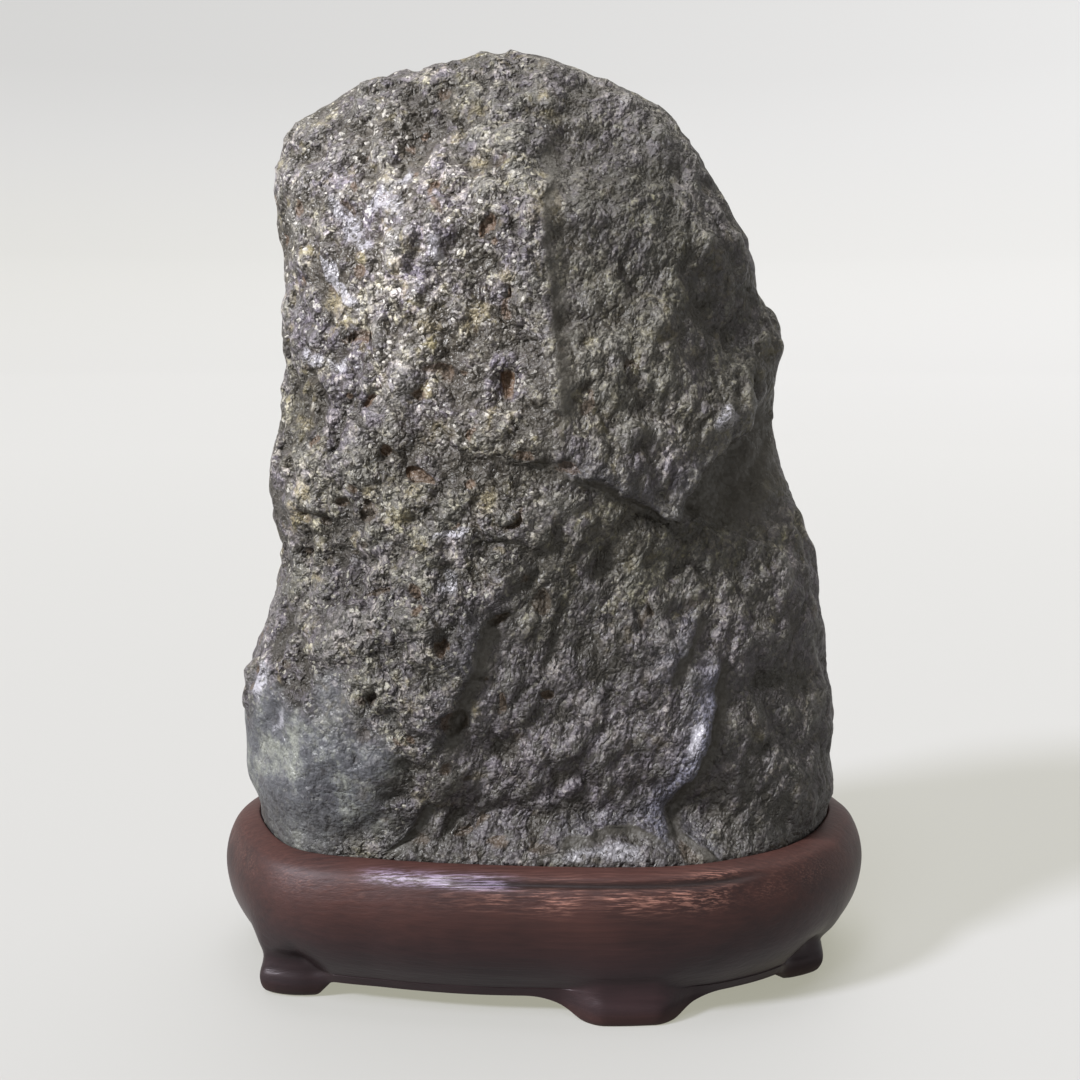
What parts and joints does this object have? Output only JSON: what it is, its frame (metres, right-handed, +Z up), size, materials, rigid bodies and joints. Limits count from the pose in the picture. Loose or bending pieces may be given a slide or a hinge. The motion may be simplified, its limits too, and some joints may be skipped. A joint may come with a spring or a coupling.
{
  "type": "scholars rock on stand",
  "caption": "Upright weathered stone with ridges, ledges and pits, resting in the fitted seat of a low carved hardwood stand with short feet.",
  "frame": {"origin": "on the surface it stands on, under the middle of the stand", "axes": "+Z up, -Y out of the side that is shown, +X to the right as that side is looked at"},
  "size_m": [0.091, 0.056, 0.123],
  "materials": {
    "stone": "rough dark grey stone, pitted, with pale mineral flecks and a faint waxed sheen",
    "hardwood": "dark red-brown hardwood under a satin lacquer, worn along the rim"
  },
  "bodies": {
    "root": {"rock": "stone", "stand": "hardwood"}
  },
  "joints": []
}
